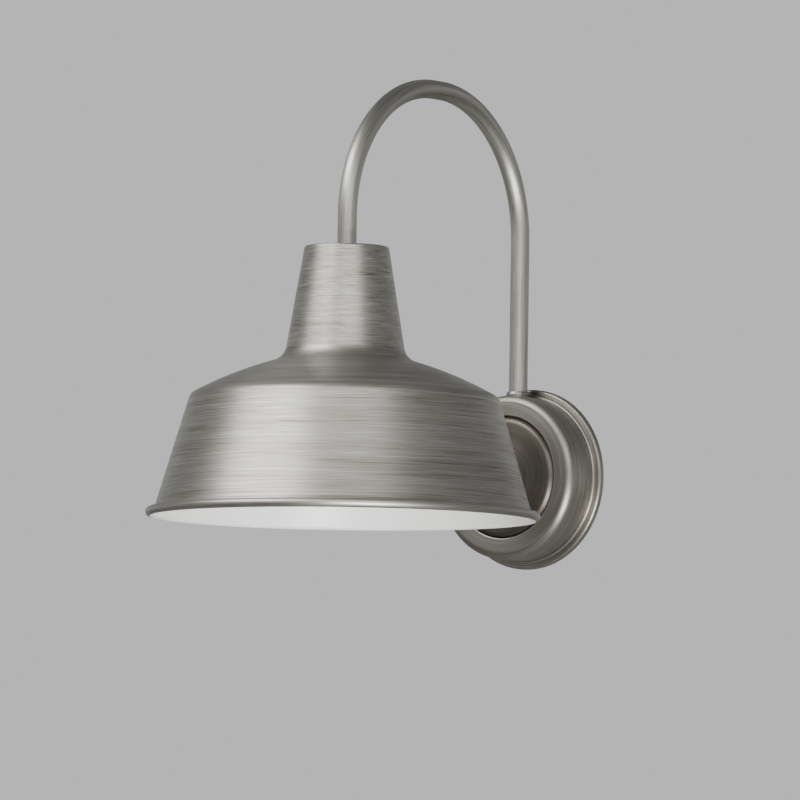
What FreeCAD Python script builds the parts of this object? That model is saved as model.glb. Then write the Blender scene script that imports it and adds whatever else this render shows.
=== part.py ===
"""Gooseneck wall sconce: a round back plate, a bent tube and a spun dome shade with a screw-in lamp.

Millimetres. X runs to the right, Y into the wall and Z up. The origin is the centre of the back plate on the
wall, so everything but that face lies at negative Y. A depth is a distance from the wall.
"""

import FreeCAD, Part
import math
import os
from types import SimpleNamespace
import Sketcher

DIMENSIONS = {
    # back plate: a spun cup with a stepped flange and a round recess in its face
    "flange_crest": 2.1,
    "flange_height": 3.4,
    "flange_round": 1.4,
    "flange_lip": 1.2,
    "cove_width": 2.6,
    "cove_rise": 0.9,
    "cove_depth": 1.0,
    "foot_round": 0.8,
    "drum_radius": 55.5,
    "drum_depth": 31.0,
    "drum_round": 5.0,
    "plate_sheet": 1.2,
    "recess_radius": 41.2,
    "recess_depth": 7.0,
    "recess_lip": 1.1,
    "seal_thickness": 1.6,
    "seal_width": 4.7,
    "seal_gap": 0.3,
    # cover disc, screwed on the centre nipple
    "disc_gap": 0.5,
    "disc_proud": 1.5,
    "disc_round": 3.0,
    "disc_sheet": 1.0,
    "disc_floor_gap": 0.3,
    "hub_radius": 8.0,
    "hub_length": 6.5,
    "hub_clearance": 0.06,
    "centre_nipple_gap": 1.5,
    # mounting strap and its fasteners
    "strap_end_gap": 2.3,
    "strap_width": 20.0,
    "strap_thickness": 2.0,
    "strap_round": 3.0,
    "slot_end_gap": 4.8,
    "slot_screw_gap": 6.2,
    "slot_width": 5.0,
    "plate_screw_spacing": 52.0,
    "plate_screw_radius": 2.1,
    "plate_screw_head": 3.9,
    "plate_screw_head_height": 2.4,
    "plate_screw_room": 0.2,
    "ground_screw_offset": 16.0,
    "ground_screw_radius": 2.1,
    "ground_screw_head": 4.2,
    "ground_screw_head_height": 2.6,
    "thread_gap": 0.05,
    # pipe nipples and hexagon nuts
    "nipple_radius": 5.1,
    "nipple_bore": 3.5,
    "nipple_room": 0.15,
    "nipple_grip": 15.0,
    "nipple_stub": 2.5,
    "nut_flats": 14.0,
    "nut_thickness": 5.0,
    "strap_nut_thickness": 4.0,
    "nut_chamfer": 0.8,
    # arm: one tube with two equal bends
    "tube_wall": 1.2,
    "riser_axis": 15.2,
    "bend_radius": 93.5,
    "arch_flat": 8.0,
    "drop_length": 19.9,
    "collar_sheet": 1.6,
    "collar_height": 3.2,
    "collar_round": 1.2,
    "saddle_gap": 0.05,
    "saddle_radius": 9.0,
    "saddle_thickness": 2.8,
    "lock_washer_radius": 8.0,
    "lock_washer_thickness": 0.8,
    # shade: spun in one piece with a rolled rim
    "neck_top": 140.8,
    "neck_top_radius": 27.5,
    "neck_edge_round": 2.0,
    "neck_foot_radius": 39.9,
    "neck_foot_height": 68.5,
    "neck_foot_round": 7.0,
    "shoulder_radius": 101.5,
    "shoulder_height": 42.2,
    "shoulder_arc": 183.0,
    "shoulder_round": 9.0,
    "rim_radius": 129.8,
    "rim_height": -35.7,
    "bead_radius": 3.0,
    "shade_sheet": 0.85,
    "shade_washer_radius": 9.0,
    "shade_washer_thickness": 1.0,
    # lamp holder
    "cap_hub_radius": 8.0,
    "cap_hub_length": 7.95,
    "cap_thread": 4.0,
    "cap_sheet": 1.2,
    "cap_depth": 11.0,
    "cap_gap": 0.3,
    "holder_radius": 20.0,
    "holder_length": 35.0,
    "holder_step": 3.5,
    "holder_cavity": 28.0,
    "holder_mouth_round": 1.5,
    "shell_sheet": 0.5,
    "shell_gap": 0.25,
    "shell_length": 25.0,
    "shell_eye": 8.0,
    "tongue_width": 5.0,
    "tongue_sheet": 0.5,
    "tongue_root": 6.5,
    "tongue_bend": 4.0,
    "tongue_tip": 3.0,
    "tongue_slope": 3.5,
    "tongue_drop": 3.5,
    "holder_screw_offset": 15.5,
    "holder_screw_radius": 1.5,
    "holder_screw_head": 2.3,
    "holder_screw_head_height": 1.6,
    "holder_screw_length": 14.0,
    "terminal_offset": 12.0,
    "terminal_radius": 1.6,
    "terminal_head": 3.0,
    "terminal_head_height": 2.6,
    "terminal_length": 6.0,
    # lamp with a medium screw base
    "lamp_seat_gap": 0.3,
    "lamp_thread_gap": 0.35,
    "lamp_base_radius": 13.1,
    "lamp_base_sheet": 0.7,
    "lamp_base_length": 19.0,
    "lamp_base_taper": 3.0,
    "insulator_radius": 9.0,
    "insulator_length": 2.0,
    "contact_radius": 4.5,
    "contact_height": 1.2,
    "bulb_length": 110.2,
    "bulb_radius": 30.0,
    "bulb_flank_angle": 25.0,
    "bulb_neck_round": 25.0,
    "bulb_sheet": 0.8,
    "bulb_neck_gap": 0.1,
    "bulb_grip": 11.0,
    # leads and their connectors
    "lead_radius": 1.2,
    "lead_offset": 1.45,
    "lead_bend": 6.5,
    "terminal_bend": 3.4,
    "connector_radius": 6.5,
    "connector_tip_radius": 4.0,
    "connector_length": 24.0,
    "connector_bore": 3.6,
    "connector_depth": 12.0,
    "connector_start": 16.0,
    "connector_height": 22.0,
    "eyelet_radius": 5.5,
    "eyelet_thickness": 0.8,
    "barrel_sheet": 0.9,
    "barrel_length": 6.0,
    "barrel_gap": 0.3,
    "ground_run": 10.0,
    "ground_drop": 24.0,
    "ground_depth": 12.0,
    "ground_bend": 5.0,
    "ground_connector_start": -2.0,
}

UPRIGHT = FreeCAD.Rotation()
OUTWARD = FreeCAD.Rotation(FreeCAD.Vector(1, 0, 0), 90)  # turns +Z away from the wall
RIGHTWARD = FreeCAD.Rotation(FreeCAD.Vector(0, 1, 0), 90)
LEFTWARD = FreeCAD.Rotation(FreeCAD.Vector(0, 1, 0), -90)
AXIAL = FreeCAD.Vector(0, 0, 1)

doc = FreeCAD.newDocument("sconce")
sheet = doc.addObject("Spreadsheet::Sheet", "Sizes")
for row, (alias, number) in enumerate(DIMENSIONS.items(), start=1):
    sheet.set(f"A{row}", alias)
    sheet.set(f"B{row}", str(number))
    sheet.setAlias(f"B{row}", alias)
doc.recompute()


class Size:
    """A number together with the formula on the sheet that gives it."""

    def __init__(self, value, formula):
        self.value = value
        self.formula = formula

    def __add__(self, other):
        other = as_size(other)
        return Size(self.value + other.value, f"({self.formula} + {other.formula})")

    def __sub__(self, other):
        other = as_size(other)
        return Size(self.value - other.value, f"({self.formula} - {other.formula})")

    def __mul__(self, other):
        other = as_size(other)
        return Size(self.value * other.value, f"({self.formula} * {other.formula})")

    def __truediv__(self, other):
        other = as_size(other)
        return Size(self.value / other.value, f"({self.formula} / {other.formula})")

    def __neg__(self):
        return Size(-self.value, f"(0 - {self.formula})")


def as_size(number):
    """A plain number as a Size."""
    return number if isinstance(number, Size) else Size(float(number), repr(float(number)))


def sine(degrees):
    """The sine of an angle."""
    return Size(math.sin(math.radians(degrees.value)), f"sin({degrees.formula})")


def cosine(degrees):
    """The cosine of an angle."""
    return Size(math.cos(math.radians(degrees.value)), f"cos({degrees.formula})")


S = SimpleNamespace(**{alias: Size(float(sheet.get(alias)), f"Sizes.{alias}") for alias in DIMENSIONS})
NODES = []

# Radii and depths of the back plate.
FOOT_RADIUS = S.drum_radius + S.foot_round
COVE_RADIUS = FOOT_RADIUS + S.cove_width
FLANGE_RADIUS = COVE_RADIUS + S.flange_crest
LIP_RADIUS = FLANGE_RADIUS - S.flange_lip
DRUM_BORE = S.drum_radius - S.plate_sheet
RECESS_OUTSIDE = S.recess_radius + S.plate_sheet
FLOOR = S.drum_depth - S.recess_depth
DISC_BACK = S.drum_depth + S.disc_proud - S.disc_sheet

# Radii, heights and depth of the arm.
TAPPED_BORE = S.nipple_radius + S.thread_gap
TUBE_RADIUS = TAPPED_BORE + S.tube_wall
SHADE_AXIS = S.riser_axis + S.bend_radius * 2 + S.arch_flat
BEND_START = S.neck_top + S.drop_length
ARM_TOP = BEND_START + S.bend_radius
RISER_FOOT = S.drum_radius
SADDLE_FOOT = DRUM_BORE - S.saddle_thickness
LOCK_WASHER_FOOT = SADDLE_FOOT - S.lock_washer_thickness
ARM_NUT_FOOT = LOCK_WASHER_FOOT - S.nut_thickness

# Heights of the lamp holder and of the lamp, counted down from the top of the shade's neck.
SHADE_WASHER_FOOT = S.neck_top - S.shade_sheet - S.shade_washer_thickness
SHADE_NUT_FOOT = SHADE_WASHER_FOOT - S.nut_thickness
CAP_TOP = SHADE_NUT_FOOT - S.cap_hub_length
HOLDER_SHOULDER = CAP_TOP - S.cap_depth
HOLDER_TOP = HOLDER_SHOULDER + S.holder_step
HOLDER_MOUTH = HOLDER_SHOULDER - S.holder_length
HOLDER_CEILING = HOLDER_MOUTH + S.holder_cavity
LAMP_TOP = HOLDER_CEILING - S.tongue_drop - S.lamp_seat_gap
INSULATOR_TOP = LAMP_TOP - S.contact_height
INSULATOR_FOOT = INSULATOR_TOP - S.insulator_length
LAMP_BASE_TOP = INSULATOR_FOOT - S.lamp_base_taper
LAMP_BASE_FOOT = LAMP_BASE_TOP - S.lamp_base_length

# Radii of the lamp holder, counted out from the lamp's base.
SHELL_BORE = S.lamp_base_radius + S.lamp_thread_gap
SHELL_RADIUS = SHELL_BORE + S.shell_sheet
HOLDER_BORE = SHELL_RADIUS + S.shell_gap

# The barrel of the ring terminal, just clear of the strap.
BARREL_BORE = S.lead_radius + S.thread_gap
BARREL_RADIUS = BARREL_BORE + S.barrel_sheet
BARREL_DEPTH = S.strap_thickness + S.thread_gap + BARREL_RADIUS
BARREL_FOOT = -(S.ground_screw_head + S.barrel_gap + S.barrel_length)


def node(piece, label):
    """Name a finished piece and list it among those that are written out."""
    piece.Label = label
    NODES.append(piece)


def move(piece, x=0, y=0, z=0, turn=UPRIGHT):
    """Turn a piece about its own origin and carry it to x, y, z."""
    place = [as_size(value) for value in (x, y, z)]
    piece.Placement = FreeCAD.Placement(FreeCAD.Vector(*[value.value for value in place]), turn)
    for axis, value in zip("xyz", place):
        piece.setExpression(f"Placement.Base.{axis}", value.formula)
    return piece


# ---------------------------------------------------------------- sketches


class Corner:
    """A corner of an outline, and the side that leaves it.

    rounded is the radius of a square corner. bend is the radius of a side that is an arc: it turns left where
    the radius is positive and right where it is negative. half_turn makes the side a half circle to the left
    between two points, one above the other.
    """

    def __init__(self, x, y, rounded=None, bend=None, half_turn=False):
        self.x = as_size(x)
        self.y = as_size(y)
        self.rounded = rounded
        self.bend = bend
        self.half_turn = half_turn

    def towards(self, other, distance):
        """The point at a distance along a level or upright side."""
        across = other.x.value - self.x.value
        rise = other.y.value - self.y.value
        if abs(across) > abs(rise):
            return (self.x + distance * math.copysign(1, across), self.y)
        return (self.x, self.y + distance * math.copysign(1, rise))


def arc_centre(start, end, radius, left):
    """The centre of the shorter arc from start to end that turns left or right."""
    across = end[0].value - start[0].value
    rise = end[1].value - start[1].value
    chord = math.hypot(across, rise)
    offset = math.sqrt(radius.value**2 - chord**2 / 4) / chord * (1 if left else -1)
    middle_x = (start[0].value + end[0].value) / 2
    middle_y = (start[1].value + end[1].value) / 2
    return FreeCAD.Vector(middle_x - rise * offset, middle_y + across * offset, 0)


def rounded_corner(corner, before, after):
    """The arc at a rounded corner: start, end, centre, whether it turns left, and what holds it."""
    start = corner.towards(before, corner.rounded)
    end = corner.towards(after, corner.rounded)
    centre = (start[0] + end[0] - corner.x, start[1] + end[1] - corner.y)
    turn = (corner.x - start[0]).value * (end[1] - corner.y).value
    turn -= (corner.y - start[1]).value * (end[0] - corner.x).value
    middle = FreeCAD.Vector(centre[0].value, centre[1].value, 0)
    return (start, end, middle, turn > 0, "DistanceX", centre[0])


def leaving_side(corner, start, end):
    """The side that leaves a corner: start, end, centre if it is an arc, its turn, and what holds it."""
    if corner.half_turn:
        middle = FreeCAD.Vector(start[0].value, (start[1].value + end[1].value) / 2, 0)
        return (start, end, middle, True, "DistanceX", start[0])
    if corner.bend is None:
        return (start, end, None, True, None, None)
    left = corner.bend.value > 0
    radius = corner.bend if left else -corner.bend
    return (start, end, arc_centre(start, end, radius, left), left, "Radius", radius)


def sides_of(corners, closed):
    """Every line and arc of an outline in order."""
    sides = []
    for index, corner in enumerate(corners):
        after = corners[(index + 1) % len(corners)]
        start = (corner.x, corner.y)
        if corner.rounded is not None:
            arc = rounded_corner(corner, corners[index - 1], after)
            sides.append(arc)
            start = arc[1]
        if not closed and after is corners[0]:
            return sides
        end = (after.x, after.y) if after.rounded is None else after.towards(corner, after.rounded)
        sides.append(leaving_side(corner, start, end))
    return sides


def hold(sketch, kind, arguments, value):
    """Add a dimension to a sketch and tie it to the sheet."""
    index = sketch.addConstraint(Sketcher.Constraint(kind, *arguments, value.value))
    sketch.setExpression(f"Constraints[{index}]", value.formula)


def pin(sketch, geometry, point, place):
    """Hold one point of a sketch at its place."""
    hold(sketch, "DistanceX", (geometry, point), as_size(place[0]))
    hold(sketch, "DistanceY", (geometry, point), as_size(place[1]))


def add_arc(sketch, first, last, middle):
    """An arc from first to last, counter-clockwise about its middle."""
    angles = [math.atan2(point.y - middle.y, point.x - middle.x) for point in (first, last)]
    if angles[1] < angles[0]:
        angles[1] += 2 * math.pi
    ring = Part.Circle(middle, AXIAL, (first - middle).Length)
    return sketch.addGeometry(Part.ArcOfCircle(ring, *angles))


def draw(sketch, corners, closed=True):
    """Draw an outline through its corners, with every point held by the sheet."""
    drawn = []
    sides = sides_of(corners, closed)
    for start, end, middle, left, kind, holder in sides:
        first = FreeCAD.Vector(start[0].value, start[1].value, 0)
        last = FreeCAD.Vector(end[0].value, end[1].value, 0)
        if middle is None:
            drawn.append((sketch.addGeometry(Part.LineSegment(first, last)), 1, 2))
        elif left:
            drawn.append((add_arc(sketch, first, last, middle), 1, 2))
        else:
            drawn.append((add_arc(sketch, last, first, middle), 2, 1))
        geometry = drawn[-1][0]
        if kind == "Radius":
            hold(sketch, kind, (geometry,), holder)
        elif kind == "DistanceX":
            hold(sketch, kind, (geometry, 3), holder)
    for index, (geometry, start_point, end_point) in enumerate(drawn):
        pin(sketch, geometry, start_point, sides[index][0])
        if not closed and index == len(drawn) - 1:
            pin(sketch, geometry, end_point, sides[index][1])
            continue
        following = drawn[(index + 1) % len(drawn)]
        joint = Sketcher.Constraint("Coincident", geometry, end_point, following[0], following[1])
        sketch.addConstraint(joint)


def circle(sketch, x, y, radius):
    """A circle held by its centre and radius."""
    x, y, radius = as_size(x), as_size(y), as_size(radius)
    ring = Part.Circle(FreeCAD.Vector(x.value, y.value, 0), AXIAL, radius.value)
    geometry = sketch.addGeometry(ring)
    pin(sketch, geometry, 3, (x, y))
    hold(sketch, "Radius", (geometry,), radius)


def sketch_on(body, role, name="outline"):
    """A sketch on one of a body's own planes."""
    sketch = body.newObject("Sketcher::SketchObject", f"{body.Name}_{name}")
    plane = [feature for feature in body.Origin.OriginFeatures if feature.Role == role][0]
    sketch.AttachmentSupport = [(plane, "")]
    sketch.MapMode = "FlatFace"
    return sketch


# ---------------------------------------------------------------- solids


def revolve(body, sketch, name="turn"):
    """Turn a sketch about its upright axis."""
    turn = body.newObject("PartDesign::Revolution", f"{body.Name}_{name}")
    turn.Profile = sketch
    turn.ReferenceAxis = (sketch, ["V_Axis"])
    turn.Angle = 360
    body.Tip = turn


def lathe(name, corners, plane="XZ_Plane"):
    """A turned body whose outline is drawn as radius and height."""
    body = doc.addObject("PartDesign::Body", name)
    sketch = sketch_on(body, plane)
    draw(sketch, corners)
    revolve(body, sketch)
    return body


def plate_lathe(name, corners):
    """A body turned about the axis out of the wall, whose outline is drawn as radius and depth."""
    outline = []
    for corner in corners:
        bend = None if corner.bend is None else -corner.bend
        outline.append(Corner(corner.x, -corner.y, corner.rounded, bend))
    return lathe(name, outline, "XY_Plane")


def pad(body, sketch, length, midplane=False):
    """Thicken a sketch into a plate."""
    plate = body.newObject("PartDesign::Pad", f"{body.Name}_pad")
    plate.Profile = sketch
    plate.setExpression("Length", length.formula)
    plate.Midplane = midplane
    body.Tip = plate


def ring(inner, outer, low, high):
    """The section of a plain ring."""
    return [Corner(inner, low), Corner(outer, low), Corner(outer, high), Corner(inner, high)]


def rod(name, radius, length, x=0, y=0, z=0, turn=UPRIGHT):
    """A cylinder."""
    cylinder = doc.addObject("Part::Cylinder", name)
    cylinder.setExpression("Radius", radius.formula)
    cylinder.setExpression("Height", length.formula)
    return move(cylinder, x, y, z, turn)


def together(name, pieces):
    """Several separate pieces as one group."""
    group = doc.addObject("Part::Compound", name)
    group.Links = pieces
    return group


def boolean(kind, name, base, tool):
    """A Cut, Fuse or Common of two pieces."""
    result = doc.addObject(f"Part::{kind}", name)
    result.Base = base
    result.Tool = tool
    return result


def cut(name, base, tools):
    """A piece with every tool taken away from it."""
    return boolean("Cut", name, base, together(f"{name}_tools", tools))


def rings_at(feature, radius, height):
    """The names of a turned feature's edges at a radius and height."""
    found = []
    for number, edge in enumerate(feature.Shape.Edges, start=1):
        if not isinstance(edge.Curve, Part.Circle):
            continue
        off = abs(edge.Curve.Radius - radius.value) + abs(edge.Curve.Center.z - height.value)
        if off < 0.001:
            found.append(f"Edge{number}")
    return found


def fillet(body, name, place, radius):
    """Round a turned body's edge at a radius and height."""
    doc.recompute()
    base = body.Tip
    rounding = body.newObject("PartDesign::Fillet", f"{body.Name}_{name}")
    rounding.Base = (base, rings_at(base, *place))
    rounding.setExpression("Radius", radius.formula)
    body.Tip = rounding


def hex_nut(name, thickness, y, z, turn=UPRIGHT):
    """A chamfered hexagon nut that stands on its own origin."""
    corner = S.nut_flats / 2 / cosine(as_size(30))
    blank = doc.addObject("Part::Prism", f"{name}_blank")
    blank.Polygon = 6
    blank.setExpression("Circumradius", corner.formula)
    blank.setExpression("Height", thickness.formula)
    turned = lathe(
        f"{name}_turned",
        [
            Corner(TAPPED_BORE, 0),
            Corner(corner - S.nut_chamfer, 0),
            Corner(corner, S.nut_chamfer / 2),
            Corner(corner, thickness - S.nut_chamfer / 2),
            Corner(corner - S.nut_chamfer, thickness),
            Corner(TAPPED_BORE, thickness),
        ],
    )
    node(move(boolean("Common", name, blank, turned), 0, y, z, turn), name)


def slotted_screw(name, head, head_height, shank, length, place, turn=UPRIGHT):
    """A screw whose rounded, slotted head stands on its own origin, with the shank below."""
    turned = lathe(
        f"{name}_turned",
        [
            Corner(0, -length),
            Corner(shank, -length),
            Corner(shank, 0),
            Corner(head, 0),
            Corner(head, head_height, rounded=head_height / 2),
            Corner(0, head_height),
        ],
    )
    slot = doc.addObject("Part::Box", f"{name}_slot")
    slot_width = head / 4
    slot.setExpression("Length", (head * 2).formula)
    slot.setExpression("Width", slot_width.formula)
    slot.setExpression("Height", head_height.formula)
    move(slot, -head, -slot_width / 2, head_height / 2)
    return move(cut(name, turned, [slot]), *place, turn)


# ---------------------------------------------------------------- back plate


def wall_seal():
    """Foam ring between the flange and the wall."""
    outer = LIP_RADIUS - S.seal_gap
    seal = plate_lathe("wall_seal", ring(outer - S.seal_width, outer, 0, S.seal_thickness))
    node(seal, "wall_seal")


def back_plate():
    """The spun cup: stepped flange, straight drum, rounded front and a recess for the disc."""
    nipple_hole = S.nipple_radius + S.nipple_room
    inside = S.drum_depth - S.plate_sheet
    cove_chord = S.cove_width * S.cove_width + S.cove_rise * S.cove_rise
    cove_bend = cove_chord / (S.cove_depth * 8) + S.cove_depth / 2
    foot = S.flange_height + S.cove_rise
    spun = plate_lathe(
        "back_plate_spun",
        [
            Corner(FLANGE_RADIUS, 0),
            Corner(FLANGE_RADIUS, S.flange_height, rounded=S.flange_round),
            Corner(COVE_RADIUS, S.flange_height, bend=-cove_bend),
            Corner(FOOT_RADIUS, foot, bend=S.foot_round),
            Corner(S.drum_radius, foot + S.foot_round),
            Corner(S.drum_radius, S.drum_depth, rounded=S.drum_round),
            Corner(S.recess_radius, S.drum_depth, rounded=S.recess_lip),
            Corner(S.recess_radius, FLOOR),
            Corner(nipple_hole, FLOOR),
            Corner(nipple_hole, FLOOR - S.plate_sheet),
            Corner(RECESS_OUTSIDE, FLOOR - S.plate_sheet),
            Corner(RECESS_OUTSIDE, inside),
            Corner(DRUM_BORE, inside, rounded=S.drum_round - S.plate_sheet),
            Corner(DRUM_BORE, S.seal_thickness),
            Corner(LIP_RADIUS, S.seal_thickness),
            Corner(LIP_RADIUS, 0),
        ],
    )
    screw_hole = S.plate_screw_radius + S.plate_screw_room
    half = S.plate_screw_spacing / 2
    tools = [
        rod("plate_hole_left", screw_hole, S.drum_depth, -half, turn=OUTWARD),
        rod("plate_hole_right", screw_hole, S.drum_depth, half, turn=OUTWARD),
        rod("riser_hole", nipple_hole, S.plate_sheet * 3, 0, -S.riser_axis, DRUM_BORE - S.plate_sheet),
    ]
    node(cut("back_plate", spun, tools), "back_plate")


def cover_disc():
    """The shallow dark disc that fills the recess."""
    radius = S.recess_radius - S.disc_gap
    face = S.drum_depth + S.disc_proud
    skirt = FLOOR + S.disc_floor_gap
    disc = plate_lathe(
        "cover_disc",
        [
            Corner(0, face),
            Corner(0, DISC_BACK),
            Corner(radius - S.disc_sheet, DISC_BACK, rounded=S.disc_round - S.disc_sheet),
            Corner(radius - S.disc_sheet, skirt),
            Corner(radius, skirt),
            Corner(radius, face, rounded=S.disc_round),
        ],
    )
    node(disc, "cover_disc")


def cover_hub():
    """The tapped ring in the disc that runs on the centre nipple."""
    bore = S.nipple_radius + S.hub_clearance
    hub = plate_lathe("cover_hub", ring(bore, S.hub_radius, DISC_BACK - S.hub_length, DISC_BACK))
    node(hub, "cover_hub")


# ---------------------------------------------------------------- strap


def mounting_strap():
    """The steel bar across the box in the wall, with a slot for each of the box's two screws."""
    strap = doc.addObject("PartDesign::Body", "mounting_strap")
    sketch = sketch_on(strap, "XZ_Plane")
    end = DRUM_BORE - S.strap_end_gap
    edge = S.strap_width / 2
    places = [(-end, -edge), (end, -edge), (end, edge), (-end, edge)]
    draw(sketch, [Corner(x, z, rounded=S.strap_round) for x, z in places])
    low = -S.slot_width / 2
    near = S.plate_screw_spacing / 2 + S.slot_screw_gap - low
    far = end - S.slot_end_gap + low
    for left, right in ((-far, -near), (near, far)):
        slot = [
            Corner(left, low),
            Corner(right, low, half_turn=True),
            Corner(right, -low),
            Corner(left, -low, half_turn=True),
        ]
        draw(sketch, slot)
    for x in (-S.plate_screw_spacing / 2, S.plate_screw_spacing / 2):
        circle(sketch, x, 0, S.plate_screw_radius + S.thread_gap)
    circle(sketch, -S.ground_screw_offset, 0, S.ground_screw_radius + S.thread_gap)
    circle(sketch, 0, 0, TAPPED_BORE)
    pad(strap, sketch, S.strap_thickness)
    node(strap, "mounting_strap")


def strap_fasteners():
    """The centre nipple and its nut, and the screws that hold the back plate to the strap."""
    nipple = ring(S.nipple_bore, S.nipple_radius, 0, DISC_BACK - S.centre_nipple_gap)
    node(plate_lathe("strap_nipple", nipple), "strap_nipple")
    hex_nut("strap_nut", S.strap_nut_thickness, -S.strap_thickness, 0, OUTWARD)
    head = (S.plate_screw_head, S.plate_screw_head_height)
    half = S.plate_screw_spacing / 2
    screws = [
        slotted_screw(f"canopy_screw_{side}", *head, S.plate_screw_radius, FLOOR, (x, -FLOOR, 0), OUTWARD)
        for side, x in (("left", -half), ("right", half))
    ]
    node(together("canopy_screws", screws), "canopy_screws")


def ground_screw():
    """The bonding screw, its head on the ring terminal."""
    seat = S.strap_thickness + S.eyelet_thickness
    head = (S.ground_screw_head, S.ground_screw_head_height)
    place = (-S.ground_screw_offset, -seat, 0)
    node(slotted_screw("ground_screw", *head, S.ground_screw_radius, seat, place, OUTWARD), "ground_screw")


# ---------------------------------------------------------------- arm


def arm_tube():
    """One tube: up from the drum, over in two quarter bends and down to the shade."""
    tube = doc.addObject("PartDesign::Body", "arm_tube")
    path = sketch_on(tube, "YZ_Plane", "path")
    rise = BEND_START - RISER_FOOT
    over = rise + S.bend_radius
    reach = SHADE_AXIS - S.riser_axis
    corners = [
        Corner(0, 0),
        Corner(0, rise, bend=S.bend_radius),
        Corner(-S.bend_radius, over),
        Corner(-(S.bend_radius + S.arch_flat), over, bend=S.bend_radius),
        Corner(-reach, rise),
        Corner(-reach, rise - S.drop_length),
    ]
    draw(path, corners, closed=False)
    section = sketch_on(tube, "XY_Plane", "section")
    circle(section, 0, 0, TUBE_RADIUS)
    circle(section, 0, 0, TAPPED_BORE)
    pipe = tube.newObject("PartDesign::AdditivePipe", "arm_tube_pipe")
    pipe.Profile = section
    pipe.Spine = path
    tube.Tip = pipe
    node(move(tube, 0, -S.riser_axis, RISER_FOOT), "arm_tube")


def arm_collar():
    """The small rounded collar at the foot of the riser, hollowed to sit on the drum."""
    inner = TUBE_RADIUS + S.thread_gap
    outer = TUBE_RADIUS + S.collar_sheet
    top = RISER_FOOT + S.collar_height
    foot = RISER_FOOT - S.collar_height
    turned = lathe(
        "arm_collar_turned",
        [
            Corner(inner, foot),
            Corner(outer, foot),
            Corner(outer, top, rounded=S.collar_round),
            Corner(inner, top),
        ],
    )
    move(turned, 0, -S.riser_axis)
    drum = rod("collar_saddle", S.drum_radius + S.saddle_gap, S.drum_depth, turn=OUTWARD)
    node(cut("arm_collar", turned, [drum]), "arm_collar")


def arm_fasteners():
    """What holds the riser from inside the drum: nipple, saddle washer, lock washer and nut."""
    nipple = ring(S.nipple_bore, S.nipple_radius, ARM_NUT_FOOT - S.nipple_stub, RISER_FOOT + S.nipple_grip)
    node(move(lathe("arm_nipple", nipple), 0, -S.riser_axis), "arm_nipple")
    hole = S.nipple_radius + S.nipple_room
    saddle = lathe("arm_washer_turned", ring(hole, S.saddle_radius, SADDLE_FOOT, S.drum_radius))
    move(saddle, 0, -S.riser_axis)
    drum = rod("washer_saddle", DRUM_BORE - S.saddle_gap, S.drum_depth, turn=OUTWARD)
    node(boolean("Common", "arm_washer", saddle, drum), "arm_washer")
    lock = ring(hole, S.lock_washer_radius, LOCK_WASHER_FOOT, SADDLE_FOOT)
    node(move(lathe("arm_lock_washer", lock), 0, -S.riser_axis), "arm_lock_washer")
    hex_nut("arm_nut", S.nut_thickness, -S.riser_axis, ARM_NUT_FOOT)


# ---------------------------------------------------------------- shade


def shade():
    """The spun dome: flat top, tapered neck, round shoulder, sloping skirt and a rolled rim."""
    body = doc.addObject("PartDesign::Body", "shade")
    wall = S.shade_sheet
    hole = S.nipple_radius + S.nipple_room
    bead_centre = S.rim_radius - S.bead_radius
    skirt_end = bead_centre - S.bead_radius
    neck_edge = (S.neck_top_radius, S.neck_top)
    foot = (S.neck_foot_radius, S.neck_foot_height)
    shoulder = (S.shoulder_radius, S.shoulder_height)
    neck_edge_inside, foot_inside, shoulder_inside = [
        (radius - wall, height - wall) for radius, height in (neck_edge, foot, shoulder)
    ]
    outline = sketch_on(body, "XZ_Plane")
    corners = [
        Corner(hole, S.neck_top),
        Corner(*neck_edge),
        Corner(*foot, bend=-S.shoulder_arc),
        Corner(*shoulder),
        Corner(skirt_end + wall, S.rim_height),
        Corner(skirt_end, S.rim_height),
        Corner(*shoulder_inside, bend=S.shoulder_arc),
        Corner(*foot_inside),
        Corner(*neck_edge_inside),
        Corner(hole, S.neck_top - wall),
    ]
    draw(outline, corners)
    revolve(body, outline)
    bead = sketch_on(body, "XZ_Plane", "bead")
    circle(bead, bead_centre, S.rim_height, S.bead_radius)
    revolve(body, bead, "rim")
    fillet(body, "neck_edge", neck_edge, S.neck_edge_round)
    fillet(body, "neck_edge_inside", neck_edge_inside, S.neck_edge_round - wall)
    fillet(body, "neck_foot", foot, S.neck_foot_round)
    fillet(body, "neck_foot_inside", foot_inside, S.neck_foot_round + wall)
    fillet(body, "shoulder", shoulder, S.shoulder_round)
    fillet(body, "shoulder_inside", shoulder_inside, S.shoulder_round - wall)
    node(move(body, 0, -SHADE_AXIS), "shade")


def shade_fasteners():
    """What holds the shade up to the arm: nipple, washer and nut."""
    nipple = ring(S.nipple_bore, S.nipple_radius, CAP_TOP - S.cap_thread, S.neck_top + S.nipple_grip)
    node(move(lathe("shade_nipple", nipple), 0, -SHADE_AXIS), "shade_nipple")
    hole = S.nipple_radius + S.nipple_room
    washer = ring(hole, S.shade_washer_radius, SHADE_WASHER_FOOT, S.neck_top - S.shade_sheet)
    node(move(lathe("shade_washer", washer), 0, -SHADE_AXIS), "shade_washer")
    hex_nut("shade_nut", S.nut_thickness, -SHADE_AXIS, SHADE_NUT_FOOT)


# ---------------------------------------------------------------- lamp holder


def holder_screw_rods(name, radius, foot, length):
    """Two upright cylinders where the holder's screws go."""
    return [
        rod(f"{name}_{side}", radius, length, 0, y, foot)
        for side, y in (("front", -S.holder_screw_offset), ("back", S.holder_screw_offset))
    ]


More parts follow.
